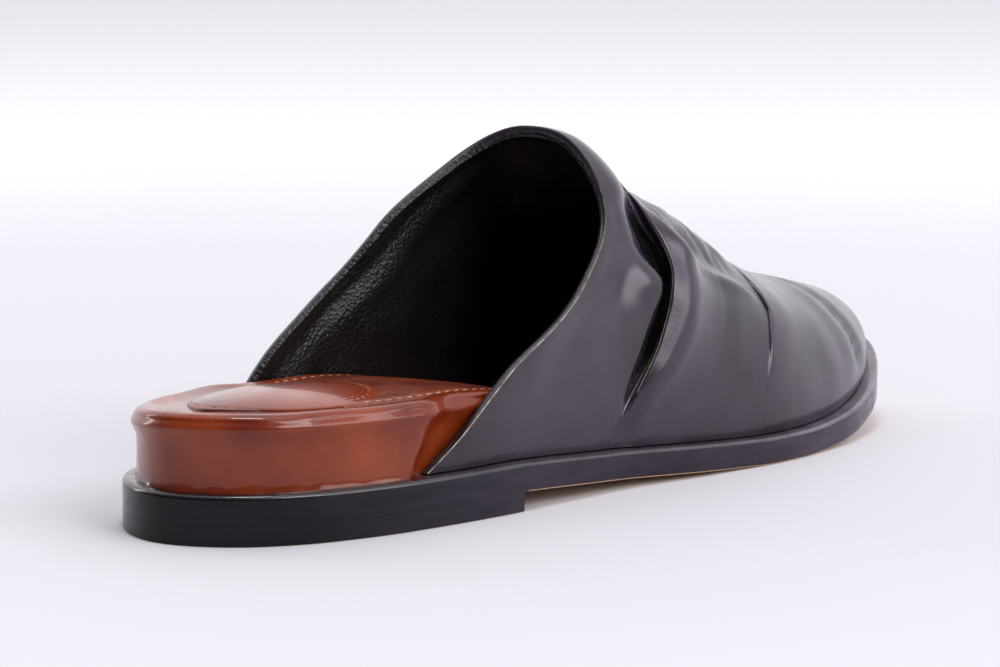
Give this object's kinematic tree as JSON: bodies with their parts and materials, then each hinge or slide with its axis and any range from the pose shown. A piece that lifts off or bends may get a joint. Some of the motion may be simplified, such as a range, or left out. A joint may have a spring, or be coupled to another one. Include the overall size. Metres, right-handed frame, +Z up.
{
  "type": "backless leather mule",
  "caption": "Closed-toe backless leather mule for the right foot: draped black upper with two tucks on a wrapped brown footbed and a flat black sole with a low heel",
  "frame": {"origin": "centre of the bounding box on the floor, under the sole", "axes": "+Y toward the toe, +X toward the outer side of the foot, +Z up"},
  "size_m": [0.0918, 0.265, 0.0851],
  "materials": {
    "outsole": "black burnished edge with a natural tan underside",
    "heel_lift": "black satin edge with a thin tan line at the floor",
    "footbed": "glossy cognac leather wrapped over a block",
    "insole_cover": "cognac leather with a sewn edge",
    "heel_cushion": "padded cognac leather, softly polished",
    "upper": "soft black leather with a satin sheen and a fine-grained black lining"
  },
  "bodies": {
    "root": {"outsole": "outsole", "heel_lift": "heel_lift", "footbed": "footbed", "insole_cover": "insole_cover", "heel_cushion": "heel_cushion", "upper": "upper"}
  },
  "joints": []
}
